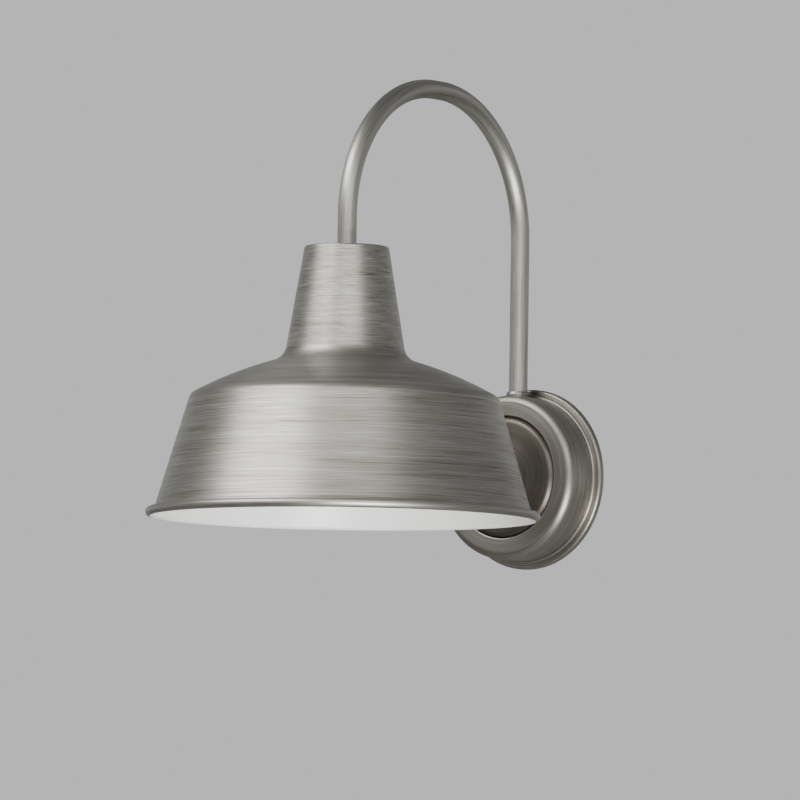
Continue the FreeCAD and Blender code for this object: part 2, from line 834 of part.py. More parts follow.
def holder_cap():
    """The pressed steel cap with a tapped hub, screwed on the nipple."""
    inside = S.holder_radius - S.cap_sheet
    pressed = lathe(
        "holder_cap_pressed",
        [
            Corner(TAPPED_BORE, SHADE_NUT_FOOT),
            Corner(S.cap_hub_radius, SHADE_NUT_FOOT),
            Corner(S.cap_hub_radius, CAP_TOP),
            Corner(S.holder_radius, CAP_TOP, rounded=S.cap_sheet),
            Corner(S.holder_radius, HOLDER_SHOULDER),
            Corner(inside, HOLDER_SHOULDER),
            Corner(inside, CAP_TOP - S.cap_sheet),
            Corner(TAPPED_BORE, CAP_TOP - S.cap_sheet),
        ],
    )
    foot = CAP_TOP - S.cap_sheet * 2
    holes = holder_screw_rods("cap_hole", S.holder_screw_radius + S.thread_gap, foot, S.cap_sheet * 4)
    node(move(cut("holder_cap", pressed, holes), 0, -SHADE_AXIS), "holder_cap")


def holder_body():
    """The porcelain, open below for the lamp."""
    neck = S.holder_radius - S.cap_sheet - S.cap_gap
    fired = lathe(
        "holder_body_fired",
        [
            Corner(HOLDER_BORE, HOLDER_MOUTH),
            Corner(S.holder_radius, HOLDER_MOUTH, rounded=S.holder_mouth_round),
            Corner(S.holder_radius, HOLDER_SHOULDER),
            Corner(neck, HOLDER_SHOULDER),
            Corner(neck, HOLDER_TOP),
            Corner(0, HOLDER_TOP),
            Corner(0, HOLDER_CEILING),
            Corner(HOLDER_BORE, HOLDER_CEILING),
        ],
    )
    screw_foot = CAP_TOP - S.holder_screw_length
    screw_hole = S.holder_screw_radius + S.thread_gap
    tools = holder_screw_rods("body_hole", screw_hole, screw_foot, S.holder_screw_length)
    terminal_hole = (S.terminal_radius + S.thread_gap, S.terminal_length * 2)
    terminal_foot = HOLDER_TOP - S.terminal_length
    for side, x in (("left", -S.terminal_offset), ("right", S.terminal_offset)):
        tools.append(rod(f"terminal_hole_{side}", *terminal_hole, x, 0, terminal_foot))
    node(move(cut("holder_body", fired, tools), 0, -SHADE_AXIS), "holder_body")


def holder_contacts():
    """The brass screw shell and the springy tongue above it."""
    shell_top = HOLDER_CEILING - S.shell_sheet
    shell = lathe(
        "screw_shell",
        [
            Corner(SHELL_BORE, HOLDER_CEILING - S.shell_length),
            Corner(SHELL_RADIUS, HOLDER_CEILING - S.shell_length),
            Corner(SHELL_RADIUS, HOLDER_CEILING),
            Corner(S.shell_eye, HOLDER_CEILING),
            Corner(S.shell_eye, shell_top),
            Corner(SHELL_BORE, shell_top),
        ],
    )
    node(move(shell, 0, -SHADE_AXIS), "screw_shell")
    tongue = doc.addObject("PartDesign::Body", "centre_contact")
    sketch = sketch_on(tongue, "XZ_Plane")
    fall = HOLDER_CEILING - S.tongue_drop + S.tongue_sheet
    upper = [
        (-S.tongue_root, HOLDER_CEILING),
        (-S.tongue_bend, HOLDER_CEILING),
        (S.tongue_slope - S.tongue_bend, fall),
        (S.tongue_tip, fall),
    ]
    lower = [(x, height - S.tongue_sheet) for x, height in reversed(upper)]
    draw(sketch, [Corner(x, height) for x, height in upper + lower])
    pad(tongue, sketch, S.tongue_width, midplane=True)
    node(move(tongue, 0, -SHADE_AXIS), "centre_contact")


def holder_fasteners():
    """The screws that hold the porcelain in its cap, and the two terminal screws."""
    head = (S.holder_screw_head, S.holder_screw_head_height)
    shank = (S.holder_screw_radius, S.holder_screw_length)
    screws = [
        slotted_screw(f"holder_screw_{side}", *head, *shank, (0, y, CAP_TOP))
        for side, y in (
            ("front", -(SHADE_AXIS + S.holder_screw_offset)),
            ("back", -(SHADE_AXIS - S.holder_screw_offset)),
        )
    ]
    node(together("holder_screws", screws), "holder_screws")
    head = (S.terminal_head, S.terminal_head_height)
    shank = (S.terminal_radius, S.terminal_length)
    terminals = [
        slotted_screw(f"terminal_{side}", *head, *shank, (x, -SHADE_AXIS, HOLDER_TOP))
        for side, x in (("left", -S.terminal_offset), ("right", S.terminal_offset))
    ]
    node(together("terminal_screws", terminals), "terminal_screws")


# ---------------------------------------------------------------- lamp


def bulb_side(neck, inset):
    """Half of the bulb's outline: bottom, end of the globe, end of the flank and start of the neck."""
    sin_flank = sine(S.bulb_flank_angle)
    cos_flank = cosine(S.bulb_flank_angle)
    centre = LAMP_TOP - S.bulb_length + S.bulb_radius
    globe = S.bulb_radius - inset
    curve = S.bulb_neck_round + inset
    globe_end = (globe * cos_flank, centre + globe * sin_flank)
    flank_radius = neck + S.bulb_neck_round - curve * cos_flank
    flank_height = globe_end[1] + (globe_end[0] - flank_radius) * cos_flank / sin_flank
    neck_start = (neck - inset, flank_height + curve * sin_flank)
    return (0, centre - globe), globe_end, (flank_radius, flank_height), neck_start


def bulb_glass():
    """The round opal bulb with straight flanks that curve into the neck."""
    neck = S.lamp_base_radius - S.lamp_base_sheet - S.bulb_neck_gap
    bottom, globe_end, flank_end, neck_start = bulb_side(neck, as_size(0))
    inner_bottom, inner_globe_end, inner_flank_end, inner_neck_start = bulb_side(neck, S.bulb_sheet)
    top = LAMP_BASE_FOOT + S.bulb_grip
    corners = [
        Corner(*bottom, bend=S.bulb_radius),
        Corner(*globe_end),
        Corner(*flank_end, bend=-S.bulb_neck_round),
        Corner(*neck_start),
        Corner(neck, top),
        Corner(neck - S.bulb_sheet, top),
        Corner(*inner_neck_start, bend=S.bulb_neck_round + S.bulb_sheet),
        Corner(*inner_flank_end),
        Corner(*inner_globe_end, bend=-(S.bulb_radius - S.bulb_sheet)),
        Corner(*inner_bottom),
    ]
    node(move(lathe("bulb_glass", corners), 0, -SHADE_AXIS), "bulb_glass")


def lamp_base():
    """The lamp's metal cap, its black glass insulator and the contact at its tip."""
    inside = S.lamp_base_radius - S.lamp_base_sheet
    cap = [
        Corner(inside, LAMP_BASE_FOOT),
        Corner(S.lamp_base_radius, LAMP_BASE_FOOT),
        Corner(S.lamp_base_radius, LAMP_BASE_TOP),
        Corner(S.insulator_radius, INSULATOR_FOOT),
        Corner(S.insulator_radius - S.lamp_base_sheet, INSULATOR_FOOT),
        Corner(inside, LAMP_BASE_TOP),
    ]
    node(move(lathe("bulb_cap", cap), 0, -SHADE_AXIS), "bulb_cap")
    insulator = [
        Corner(0, INSULATOR_FOOT),
        Corner(S.insulator_radius, INSULATOR_FOOT),
        Corner(S.contact_radius, INSULATOR_TOP),
        Corner(0, INSULATOR_TOP),
    ]
    node(move(lathe("bulb_insulator", insulator), 0, -SHADE_AXIS), "bulb_insulator")
    contact = [
        Corner(0, INSULATOR_TOP),
        Corner(S.contact_radius, INSULATOR_TOP),
        Corner(S.contact_radius, LAMP_TOP, rounded=S.contact_height / 2),
        Corner(0, LAMP_TOP),
    ]
    node(move(lathe("bulb_contact", contact), 0, -SHADE_AXIS), "bulb_contact")


# ---------------------------------------------------------------- leads


def rounded_path(points):
    """Straight runs joined by tangent arcs: every inner point has its place and the arc's radius."""
    edges = []
    last = points[0][0]
    for index in range(1, len(points) - 1):
        corner, radius = points[index]
        back = (points[index - 1][0] - corner).normalize()
        onward = (points[index + 1][0] - corner).normalize()
        half_angle = back.getAngle(onward) / 2
        tangent = radius / math.tan(half_angle)
        inward = (back + onward).normalize()
        middle = corner + inward * (radius / math.sin(half_angle) - radius)
        edges.append(Part.LineSegment(last, corner + back * tangent))
        edges.append(Part.Arc(corner + back * tangent, middle, corner + onward * tangent))
        last = corner + onward * tangent
    edges.append(Part.LineSegment(last, points[-1][0]))
    return Part.Wire([edge.toShape() for edge in edges])


def lead(name, points):
    """A round insulated lead along a path of places and radii."""
    start = FreeCAD.Vector(*[value.value for value in points[0][0]])
    route = []
    for place, radius in points:
        spot = FreeCAD.Vector(*[value.value for value in place]) - start
        route.append((spot, radius.value if radius else None))
    path = rounded_path(route)
    radius = S.lead_radius.value
    section = Part.Wire([Part.makeCircle(radius, route[0][0], route[1][0] - route[0][0])])
    solid = path.makePipeShell([section], True, False)
    ratio = solid.Volume / (math.pi * radius**2 * path.Length)
    print(f"{name}: {path.Length:.1f} mm long, volume {ratio:.4f} of section times length")
    piece = doc.addObject("Part::Feature", name)
    piece.Shape = solid
    piece.Placement = FreeCAD.Placement(start, UPRIGHT)
    node(piece, name)


def supply_leads():
    """Line and neutral, side by side from the terminals over the arm and down to the connectors."""
    seat = HOLDER_TOP + S.lead_radius
    start = S.terminal_offset - S.terminal_head
    end = S.connector_start + S.connector_depth
    for name, side in (("line_lead", 1), ("neutral_lead", -1)):
        inner = S.lead_offset * side
        points = [
            ((start * side, -SHADE_AXIS, seat), None),
            ((inner, -SHADE_AXIS, seat), S.terminal_bend),
            ((inner, -SHADE_AXIS, ARM_TOP), S.bend_radius),
            ((inner, -S.riser_axis, ARM_TOP), S.bend_radius),
            ((inner, -S.riser_axis, S.connector_height), S.lead_bend),
            ((end * side, -S.riser_axis, S.connector_height), None),
        ]
        lead(name, points)


def ground_lead():
    """The bonding lead, from the ring terminal's barrel round to its connector."""
    x = -S.ground_screw_offset
    end = S.ground_connector_start + S.connector_depth
    points = [
        ((x, -BARREL_DEPTH, BARREL_FOOT + S.barrel_length / 2), None),
        ((x, -BARREL_DEPTH, BARREL_FOOT - S.ground_run / 2), S.ground_bend),
        ((x, -S.ground_depth, -S.ground_drop), S.ground_bend),
        ((end, -S.ground_depth, -S.ground_drop), None),
    ]
    lead("ground_lead", points)


def ring_terminal():
    """The crimped eyelet under the ground screw, its barrel pointing down."""
    x = -S.ground_screw_offset
    eyelet = ring(S.ground_screw_radius + S.thread_gap, S.eyelet_radius, as_size(0), S.eyelet_thickness)
    flat = move(lathe("eyelet", eyelet), x, -S.strap_thickness, 0, OUTWARD)
    barrel = rod("barrel", BARREL_RADIUS, S.barrel_length, x, -BARREL_DEPTH, BARREL_FOOT)
    hole = rod("barrel_bore", BARREL_BORE, S.barrel_length, x, -BARREL_DEPTH, BARREL_FOOT)
    node(cut("ring_terminal", boolean("Fuse", "crimp", flat, barrel), [hole]), "ring_terminal")


def wire_connectors():
    """Three twist-on connectors, one for each lead."""
    places = [
        ("line", S.connector_start, -S.riser_axis, S.connector_height, RIGHTWARD),
        ("neutral", -S.connector_start, -S.riser_axis, S.connector_height, LEFTWARD),
        ("ground", S.ground_connector_start, -S.ground_depth, -S.ground_drop, RIGHTWARD),
    ]
    connectors = []
    for name, x, y, z, turn in places:
        corners = [
            Corner(S.connector_bore, 0),
            Corner(S.connector_radius, 0),
            Corner(S.connector_tip_radius, S.connector_length),
            Corner(0, S.connector_length),
            Corner(0, S.connector_depth),
            Corner(S.connector_bore, S.connector_depth),
        ]
        connectors.append(move(lathe(f"connector_{name}", corners), x, y, z, turn))
    node(together("wire_connectors", connectors), "wire_connectors")


# ---------------------------------------------------------------- the sconce

wall_seal()
back_plate()
cover_disc()
cover_hub()
mounting_strap()
strap_fasteners()
ground_screw()
arm_tube()
arm_collar()
arm_fasteners()
shade()
shade_fasteners()
holder_cap()
holder_body()
holder_contacts()
holder_fasteners()
bulb_glass()
lamp_base()
supply_leads()
ground_lead()
ring_terminal()
wire_connectors()
doc.recompute()

for item in doc.Objects:
    if "Invalid" in item.State or "Error" in item.State:
        raise RuntimeError(f"{item.Label} could not be built: {item.State}")
for piece in NODES:
    if piece.Shape.isNull() or not piece.Shape.isValid() or not piece.Shape.Solids:
        raise RuntimeError(f"{piece.Label} is not a sound solid")

os.makedirs("parts", exist_ok=True)
for piece in NODES:
    piece.Shape.exportStep(f"parts/{piece.Label}.step")
    print(f"{piece.Label}: {len(piece.Shape.Solids)} solid(s), {piece.Shape.Volume:.1f} mm3")
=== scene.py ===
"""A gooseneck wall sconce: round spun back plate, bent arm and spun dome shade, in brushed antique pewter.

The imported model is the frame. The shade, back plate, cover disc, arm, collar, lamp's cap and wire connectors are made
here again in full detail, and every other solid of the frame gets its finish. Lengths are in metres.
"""

import math

import bmesh
import bpy
from mathutils import Matrix, Vector


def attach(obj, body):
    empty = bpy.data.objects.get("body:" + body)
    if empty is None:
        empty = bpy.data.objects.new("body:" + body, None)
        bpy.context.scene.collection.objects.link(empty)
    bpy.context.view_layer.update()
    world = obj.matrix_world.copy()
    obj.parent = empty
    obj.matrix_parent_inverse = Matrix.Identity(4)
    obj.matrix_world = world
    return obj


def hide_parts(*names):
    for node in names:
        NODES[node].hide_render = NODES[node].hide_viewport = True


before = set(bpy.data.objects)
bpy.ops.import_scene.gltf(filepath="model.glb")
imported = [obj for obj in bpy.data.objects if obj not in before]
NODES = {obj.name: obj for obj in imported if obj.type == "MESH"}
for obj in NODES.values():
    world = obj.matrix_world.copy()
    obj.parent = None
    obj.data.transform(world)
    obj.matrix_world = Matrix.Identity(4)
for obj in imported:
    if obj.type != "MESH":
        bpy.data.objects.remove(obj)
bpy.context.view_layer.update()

MM = 0.001
SHADE_PLACE = Vector((0, -210.2, 0)) * MM
ARM_PLACE = Vector((0, -15.2, 0)) * MM
UP = Vector((0, 0, 1))
OUT = Vector((0, -1, 0))  # away from the wall
TURN_OUT = Matrix.Rotation(math.pi / 2, 4, "X")  # takes +Z to OUT

# ---------------------------------------------------------------- nodes and colours


def colour(code):
    """The linear colour of an sRGB hex value."""
    parts = [int(code[i : i + 2], 16) / 255 for i in (1, 3, 5)]
    return [c / 12.92 if c <= 0.04045 else ((c + 0.055) / 1.055) ** 2.4 for c in parts] + [1.0]


def add(tree, kind, values=None, stops=(), **settings):
    """Adds one node with its settings.

    Values are numbers for its inputs, or sockets to link to them. Stops are a colour ramp's (place, hex colour) pairs.
    """
    made = tree.nodes.new(kind)
    for key, setting in settings.items():
        setattr(made, key, setting)
    for key, value in (values or {}).items():
        if isinstance(value, bpy.types.NodeSocket):
            tree.links.new(value, made.inputs[key])
        else:
            made.inputs[key].default_value = value
    if stops:
        band = made.color_ramp.elements
        while len(band) < len(stops):
            band.new(0.5)
        for element, (place, code) in zip(band, stops):
            element.position, element.color = place, colour(code)
    return made


def finish(name, **shader):
    """A new material with the shader's own values set, its tree and its shader node."""
    material = bpy.data.materials.new(name)
    material.use_nodes = True
    tree = material.node_tree
    tree.nodes.clear()
    surface = add(tree, "ShaderNodeBsdfPrincipled", {key.replace("_", " "): v for key, v in shader.items()})
    add(tree, "ShaderNodeOutputMaterial", {"Surface": surface.outputs[0]})
    return material, tree, surface


def streaks(tree, along, across, long_mm, wide_mm, detail=3.0, distortion=0.0):
    """Noise drawn out along the brush lines: along and across are the pattern's places, in metres."""
    far = 1 / (long_mm * MM)
    near = 1 / (wide_mm * MM)
    run = add(tree, "ShaderNodeVectorMath", {0: along, 1: (far, far, far)}, operation="MULTIPLY")
    step = add(tree, "ShaderNodeVectorMath", {0: across, 1: (near, near, near)}, operation="MULTIPLY")
    place = add(tree, "ShaderNodeVectorMath", {0: run.outputs[0], 1: step.outputs[0]}, operation="ADD")
    depth = add(tree, "ShaderNodeSeparateXYZ", {0: step.outputs[0]})
    noise = add(
        tree,
        "ShaderNodeTexNoise",
        {"Vector": place.outputs[0], "W": depth.outputs["X"], "Scale": 1.0, "Detail": detail, "Distortion": distortion},
        noise_dimensions="4D",
    )
    return noise.outputs["Fac"]


def round_axis(tree, centre, axis, mean_radius):
    """Places on a turned piece: (along the turning, across it, tangent of the brush lines).

    Along is the direction from the axis times the mean radius, so a stroke's length is true at that radius. Across
    holds the radius as X, and the height as the coordinate that the axis points along, Z or Y.
    """
    where = add(tree, "ShaderNodeTexCoord").outputs["Object"]
    arm = add(tree, "ShaderNodeVectorMath", {0: where, 1: tuple(centre)}, operation="SUBTRACT").outputs[0]
    height = add(tree, "ShaderNodeVectorMath", {0: arm, 1: tuple(axis)}, operation="DOT_PRODUCT").outputs["Value"]
    rise = add(tree, "ShaderNodeVectorMath", {0: tuple(axis), "Scale": height}, operation="SCALE").outputs[0]
    flat = add(tree, "ShaderNodeVectorMath", {0: arm, 1: rise}, operation="SUBTRACT").outputs[0]
    radius = add(tree, "ShaderNodeVectorMath", {0: flat}, operation="LENGTH").outputs["Value"]
    unit = add(tree, "ShaderNodeVectorMath", {0: flat}, operation="NORMALIZE").outputs[0]
    along = add(tree, "ShaderNodeVectorMath", {0: unit, "Scale": mean_radius}, operation="SCALE").outputs[0]
    across = add(tree, "ShaderNodeCombineXYZ", {"X": radius, "Y" if axis == OUT else "Z": height}).outputs[0]
    tangent = add(tree, "ShaderNodeVectorMath", {0: tuple(axis), 1: unit}, operation="CROSS_PRODUCT").outputs[0]
    return along, across, tangent


def pewter(name, places, light="#bab9b3", mid="#96958e", dark="#686157", rough=(0.39, 0.50), strength=0.07):
    """Antique pewter, brushed by hand with a coarse pad.

    Fine strokes of darker, browner tone run with the brush and are rubbed back to bright metal between, in soft bands
    where the pad pressed harder. The strokes are 0.1 mm wide on the real one, and are drawn 0.45 mm and 0.3 mm wide so
    that they show. The brush also draws each highlight out across its lines.
    """
    material, tree, surface = finish(name, Metallic=1.0, Anisotropic=0.45, Anisotropic_Rotation=0.25)
    along, across, tangent = places(tree)
    bands = streaks(tree, along, across, 90, 5.0, 2.0)
    strokes = streaks(tree, along, across, 55, 0.45, 2.5, 0.15)
    hairs = streaks(tree, along, across, 24, 0.3, 2.0)
    both = add(tree, "ShaderNodeMix", {"Factor": 0.5, "A": strokes, "B": hairs}, data_type="FLOAT").outputs[0]
    tone = add(tree, "ShaderNodeMix", {"Factor": 0.2, "A": both, "B": bands}, data_type="FLOAT").outputs[0]
    stops = [(0.38, dark), (0.47, mid), (0.53, mid), (0.62, light)]
    metal = add(tree, "ShaderNodeValToRGB", {"Fac": tone}, stops)
    tree.links.new(metal.outputs["Color"], surface.inputs["Base Color"])
    sheen = add(tree, "ShaderNodeMapRange", {"Value": both, "To Min": rough[1], "To Max": rough[0]})
    tree.links.new(sheen.outputs["Result"], surface.inputs["Roughness"])
    tree.links.new(tangent, surface.inputs["Tangent"])
    scratch = add(tree, "ShaderNodeBump", {"Height": both, "Strength": strength, "Distance": 0.0002})
    tree.links.new(scratch.outputs[0], surface.inputs["Normal"])
    return material


def drawn_places(tree):
    """Places on the arm, from what the tube's mesh carries."""
    along = add(tree, "ShaderNodeAttribute", attribute_name="run_along").outputs["Vector"]
    across = add(tree, "ShaderNodeAttribute", attribute_name="run_round").outputs["Vector"]
    tangent = add(tree, "ShaderNodeAttribute", attribute_name="run_way").outputs["Vector"]
    return along, across, tangent


def speckled(name, pale, deep, grain_mm, rough=(0.3, 0.45), bump=0.05, distance=0.0001, stretch=None, **shader):
    """A plain finish with a fine uneven tone, roughness and surface, the grain in real millimetres."""
    material, tree, surface = finish(name, **shader)
    where = add(tree, "ShaderNodeTexCoord").outputs["Object"]
    if stretch:
        where = add(tree, "ShaderNodeMapping", {"Vector": where, "Scale": stretch}).outputs[0]
    scale = 1 / (grain_mm * MM)
    fine = add(tree, "ShaderNodeTexNoise", {"Vector": where, "Scale": scale, "Detail": 4.0}).outputs["Fac"]
    cloud = add(tree, "ShaderNodeTexNoise", {"Vector": where, "Scale": scale / 14, "Detail": 2.0}).outputs["Fac"]
    tone = add(tree, "ShaderNodeMix", {"Factor": 0.5, "A": fine, "B": cloud}, data_type="FLOAT").outputs[0]
    paint = add(tree, "ShaderNodeValToRGB", {"Fac": tone}, [(0.32, deep), (0.68, pale)])
    tree.links.new(paint.outputs["Color"], surface.inputs["Base Color"])
    sheen = add(tree, "ShaderNodeMapRange", {"Value": tone, "To Min": rough[0], "To Max": rough[1]})
    tree.links.new(sheen.outputs["Result"], surface.inputs["Roughness"])
    bumped = add(tree, "ShaderNodeBump", {"Height": fine, "Strength": bump, "Distance": distance})
    tree.links.new(bumped.outputs[0], surface.inputs["Normal"])
    return material


# ---------------------------------------------------------------- finishes

# Antique pewter on spun steel: the brush went round on the lathe, so each highlight runs down the shade.
shade_pewter = pewter("spun_pewter_shade", lambda tree: round_axis(tree, SHADE_PLACE, UP, 0.095))
# The same pewter on the plate as a darker copy, a painted shade: the plate sits behind the shade and mirrors its dark
# back.
plate_pewter_shaded = pewter(
    "spun_pewter_plate_shaded", lambda tree: round_axis(tree, Vector(), OUT, 0.050), "#a3a19a", "#827f78", "#5a534a"
)
# The same pewter on the cover disc as a near black-brown copy, a painted reflection of the shade's dark back; its
# rounded edge catches the light.
cover_pewter_dark_reflection = pewter(
    "spun_pewter_cover_dark_reflection", lambda tree: round_axis(tree, Vector(), OUT, 0.030), "#7f7a74", "#5b5650", "#403a34"
)
# Drawn tube, brushed along its run, so a narrow highlight follows the bends.
arm_pewter = pewter("drawn_pewter_arm", drawn_places)
# The turned collar, brushed round the riser.
collar_pewter = pewter("turned_pewter_collar", lambda tree: round_axis(tree, ARM_PLACE, UP, 0.008))

# Vitreous enamel, sprayed and fired: white with a soft gloss and a faint orange peel.
enamel = speckled(
    "white_enamel",
    "#f4f3f1",
    "#e9e8e5",
    2.2,
    (0.34, 0.42),
    0.04,
    0.0002,
    Metallic=0.0,
    Coat_Weight=0.5,
    Coat_Roughness=0.3,
)

# Zinc plate on steel: cool grey with a faint yellow cast and a soft cloudiness from the bath.
zinc = speckled("zinc_plated_steel", "#c9cac8", "#9d9f9c", 1.2, (0.26, 0.42), 0.06, Metallic=1.0)
# The same plate dyed green, which marks the bonding screw.
green_zinc = speckled("green_dyed_zinc", "#3f8f5a", "#256b3d", 1.2, (0.3, 0.45), 0.06, Metallic=0.85)
# Turned and rolled brass: warm yellow, a little dulled by handling.
brass = speckled("rolled_brass", "#d9b566", "#b08a3c", 2.0, (0.22, 0.36), 0.05, Metallic=1.0)
# Glazed porcelain: bright white under a clear glaze, pooled a little unevenly.
porcelain = speckled(
    "glazed_porcelain",
    "#f0eee6",
    "#e2dfd3",
    3.0,
    (0.08, 0.16),
    0.08,
    0.0003,
    Metallic=0.0,
    Coat_Weight=0.6,
    Coat_Roughness=0.05,
)
# Opal glass: milk white, smooth and slightly soft where light sinks in.
opal = speckled(
    "opal_glass",
    "#f7f6f2",
    "#edebe5",
    6.0,
    (0.16, 0.22),
    0.01,
    Metallic=0.0,
    Subsurface_Weight=0.25,
    Subsurface_Scale=0.004,
)
# Rolled aluminium lamp cap: pale and bright, with fine drawing lines round it.
cap_metal = speckled(
    "rolled_aluminium", "#d8d8d6", "#b4b4b1", 0.7, (0.22, 0.36), 0.08, stretch=(0.2, 0.2, 1.6), Metallic=1.0
)
# Vitrite, the black glass that insulates the lamp's tip: deep black with a wet gloss.
vitrite = speckled("black_vitrite", "#17161a", "#09090b", 2.0, (0.08, 0.14), 0.03, Metallic=0.0)
# Closed-cell foam: matte near-black with cells of about half a millimetre.
foam = speckled("closed_cell_foam", "#3a3a3a", "#1b1b1b", 0.5, (0.82, 0.95), 0.6, 0.0004, Metallic=0.0)
# Extruded vinyl on the leads: smooth, with a waxy sheen and faint extrusion streaks.
black_vinyl = speckled("black_vinyl", "#26262a", "#141416", 0.8, (0.32, 0.42), 0.08, Metallic=0.0)
white_vinyl = speckled("white_vinyl", "#ecebe6", "#dcdad2", 0.8, (0.32, 0.42), 0.08, Metallic=0.0)
green_vinyl = speckled("green_vinyl", "#2f8f4a", "#1d6f35", 0.8, (0.32, 0.42), 0.08, Metallic=0.0)
# Tinned copper: bright grey, dulled where it was crimped.
tinned = speckled("tinned_copper", "#cfcdc6", "#a5a29a", 0.9, (0.26, 0.4), 0.08, Metallic=1.0)
# Moulded nylon of the wire connectors: orange, matte from the tool's spark finish.
orange = speckled("moulded_nylon", "#e2732a", "#cc5c17", 0.4, (0.5, 0.62), 0.2, 0.0001, Metallic=0.0)

# ---------------------------------------------------------------- outlines of turned pieces

ARC_STEP = math.radians(1.5)  # of a side that is bent
ROUNDING_STEP = 7.5  # degrees, of a rounded corner
SAME_POINT = 0.004  # millimetres


def side(start, end, bend):
    """Points from start to end in (radius, height): straight, or an arc that swells left of the way, right below 0."""
    if not bend:
        return [start, end]
    chord = end - start
    left = Vector((-chord.y, chord.x)).normalized()
    lift = math.sqrt(bend * bend - chord.length_squared / 4)
    centre = (start + end) / 2 - left * math.copysign(lift, bend)
    first = start - centre
    turn = first.angle_signed(end - centre)
    steps = max(6, round(abs(turn) / ARC_STEP))
    return [centre + Matrix.Rotation(-turn * k / steps, 2) @ first for k in range(steps + 1)]


def trimmed(points, length):
    """The points without the first stretch of that length."""
    points = list(points)
    while len(points) > 2 and (points[1] - points[0]).length < length:
        length -= (points[1] - points[0]).length
        points.pop(0)
    return [points[0].lerp(points[1], length / (points[1] - points[0]).length)] + points[1:]


def outline(corners):
    """A closed outline in millimetres from corners of (radius, height, rounding, bend of the side that follows)."""
    corners = [(*corner, 0, 0)[:4] for corner in corners]
    spots = [Vector(corner[:2]) for corner in corners]
    count = len(spots)
    sides = [side(spots[i], spots[(i + 1) % count], corners[i][3]) for i in range(count)]
    arcs = []
    for i, (_, _, rounding, _) in enumerate(corners):
        if not rounding:
            arcs.append([])
            continue
        before, after = sides[i - 1], sides[i]
        way_in = (before[-1] - before[-2]).normalized()
        way_out = (after[1] - after[0]).normalized()
        turn = way_in.angle(way_out)
        reach = rounding * math.tan(turn / 2)
        sides[i - 1] = trimmed(before[::-1], reach)[::-1]
        sides[i] = trimmed(after, reach)
        start, end, weight = sides[i - 1][-1], sides[i][0], math.cos(turn / 2)
        steps = max(4, round(math.degrees(turn) / ROUNDING_STEP))
        arc = []
        for k in range(1, steps):
            t = k / steps
            a, b, c = (1 - t) ** 2, 2 * t * (1 - t) * weight, t * t
            arc.append((start * a + spots[i] * b + end * c) / (a + b + c))
        arcs.append(arc)
    points = []
    for i in range(count):
        points += arcs[i] + sides[i]
    clean = [points[0]]
    for point in points[1:]:
        if (point - clean[-1]).length > SAME_POINT:
            clean.append(point)
    if (clean[0] - clean[-1]).length < SAME_POINT:
        clean.pop()
    return clean


def fine(points, step):
    """The points with more between them, so that a thread or a hollow has something to shape."""
    out = []
    for here, there in zip(points, [*points[1:], points[0]]):
        parts = max(1, round((there - here).length / step))
        out += [here.lerp(there, k / parts) for k in range(parts)]
    return out


# ---------------------------------------------------------------- Geometry Nodes trees


def new_tree(name, inputs):
    """A tree with geometry in and out and the named inputs, and its two end nodes."""
    tree = bpy.data.node_groups.new(name, "GeometryNodeTree")
    tree.interface.new_socket("Geometry", in_out="INPUT", socket_type="NodeSocketGeometry")
    for label, kind in inputs:
        tree.interface.new_socket(label, in_out="INPUT", socket_type="NodeSocket" + kind)
    tree.interface.new_socket("Geometry", in_out="OUTPUT", socket_type="NodeSocketGeometry")
    return tree, add(tree, "NodeGroupInput").outputs


def end_tree(tree, mesh, material):
    """Welds the seam and poles and ends the tree in plain geometry with its finish."""
    welded = add(tree, "GeometryNodeMergeByDistance", {"Geometry": mesh, "Distance": 2e-6})
    plain = add(tree, "GeometryNodeRealizeInstances", {"Geometry": welded.outputs[0]})
    painted = add(tree, "GeometryNodeSetMaterial", {"Geometry": plain.outputs[0], "Material": material})
    add(tree, "NodeGroupOutput", {"Geometry": painted.outputs[0]})
    return tree


def carried(tree, shape, name, kind, index):
    """What the outline's point of that index carries under a name, or its place where name is None."""
    if name:
        field = add(tree, "GeometryNodeInputNamedAttribute", {"Name": name}, data_type=kind).outputs[0]
    else:
        field = add(tree, "GeometryNodeInputPosition").outputs[0]
    values = {"Geometry": shape, "Value": field, "Index": index}
    sampled = add(tree, "GeometryNodeSampleIndex", values, data_type=kind, domain="POINT")
    return sampled.outputs[0]


def wrapped_grid(tree, shape, steps):
    """A grid with a column for each step round and a row for each outline point: mesh, column and row of a point."""
    rows = add(tree, "GeometryNodeAttributeDomainSize", {"Geometry": shape}, component="MESH").outputs["Point Count"]
    columns = add(tree, "ShaderNodeMath", {0: steps, 1: 1}, operation="ADD").outputs[0]
    grid = add(tree, "GeometryNodeMeshGrid", {"Vertices X": columns, "Vertices Y": rows}).outputs["Mesh"]
    index = add(tree, "GeometryNodeInputIndex").outputs[0]
    inside = add(tree, "ShaderNodeMath", {0: index, 1: 0.5}, operation="ADD").outputs[0]
    share = add(tree, "ShaderNodeMath", {0: inside, 1: rows}, operation="DIVIDE").outputs[0]
    column = add(tree, "ShaderNodeMath", {0: share}, operation="FLOOR").outputs[0]
    before = add(tree, "ShaderNodeMath", {0: column, 1: rows}, operation="MULTIPLY").outputs[0]
    row = add(tree, "ShaderNodeMath", {0: index, 1: before}, operation="SUBTRACT").outputs[0]
    return grid, column, row


def round_about(tree, column, steps):
    """The angle of a column, with its cosine and sine."""
    share = add(tree, "ShaderNodeMath", {0: column, 1: steps}, operation="DIVIDE").outputs[0]
    angle = add(tree, "ShaderNodeMath", {0: share, 1: math.tau}, operation="MULTIPLY").outputs[0]
    cosine = add(tree, "ShaderNodeMath", {0: angle}, operation="COSINE").outputs[0]
    sine = add(tree, "ShaderNodeMath", {0: angle}, operation="SINE").outputs[0]
    return angle, cosine, sine


